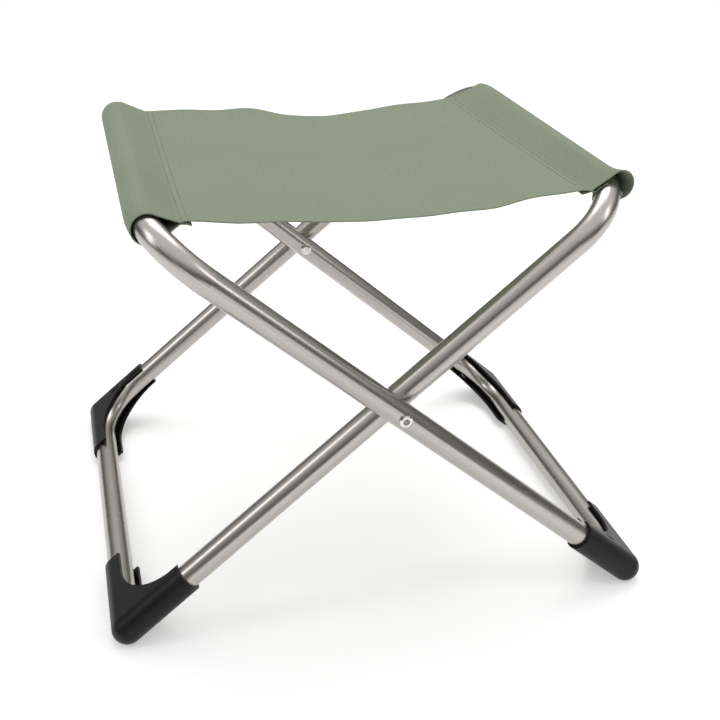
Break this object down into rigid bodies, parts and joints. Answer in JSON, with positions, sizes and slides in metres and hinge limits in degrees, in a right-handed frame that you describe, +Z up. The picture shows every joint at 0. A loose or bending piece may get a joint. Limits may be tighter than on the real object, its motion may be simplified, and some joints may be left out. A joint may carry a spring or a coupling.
{
  "type": "camp stool",
  "caption": "Folding X-frame camp stool: two bent-tube frames riveted where they cross, a cloth seat sewn round both top bars, and a corner foot on each bottom corner.",
  "frame": {"origin": "middle of the footprint, on the ground", "axes": "+X from the left top bar to the right top bar, +Y from the front leg pair to the back leg pair, along the pivots, +Z up"},
  "size_m": [0.4448, 0.391, 0.3523],
  "materials": {
    "frame_tube": "satin anodised, fine drawn grain along the tube",
    "joiner": "plain drawn",
    "rivet": "bright zinc plated",
    "spacer": "bright zinc plated",
    "foot": "soft black moulded plastic, satin",
    "cloth": "close plain weave, sage green, matt",
    "thread": "polyester sewing thread, sage green"
  },
  "bodies": {
    "left_frame": {"left_frame_tube": "frame_tube", "left_frame_joiner": "joiner", "left_joiner_rivets": "rivet", "foot_front_right": "foot", "foot_back_right": "foot", "front_pivot_rivet": "rivet", "back_pivot_rivet": "rivet", "front_pivot_spacer": "spacer", "back_pivot_spacer": "spacer"},
    "right_frame": {"right_frame_tube": "frame_tube", "right_frame_joiner": "joiner", "right_joiner_rivets": "rivet", "foot_front_left": "foot", "foot_back_left": "foot"},
    "seat_left": {"seat_left_panel": "cloth", "seat_left_sleeve": "cloth", "seat_left_stitching": "thread"},
    "seat_right": {"seat_right_panel": "cloth", "seat_right_sleeve": "cloth", "seat_right_stitching": "thread"}
  },
  "joints": [
    {"name": "frame_fold", "type": "hinge", "parent": "left_frame", "child": "right_frame", "pos_m": [0, 0, 0.19125], "axis": [0, 1, 0], "range_deg": [-92, 0], "deforming": ["seat_left_panel", "seat_right_panel"]},
    {"name": "seat_left_turn", "type": "hinge", "parent": "left_frame", "child": "seat_left", "pos_m": [-0.17489, 0, 0.34062], "axis": [0, 1, 0], "range_deg": [0, 35.5]},
    {"name": "seat_right_turn", "type": "hinge", "parent": "right_frame", "child": "seat_right", "pos_m": [0.17489, 0, 0.34062], "axis": [0, 1, 0], "range_deg": [-35.5, 0]}
  ],
  "couplings": [
    {"joint": "seat_left_turn", "follows": "frame_fold", "ratio": -0.3857},
    {"joint": "seat_right_turn", "follows": "frame_fold", "ratio": 0.3857}
  ]
}
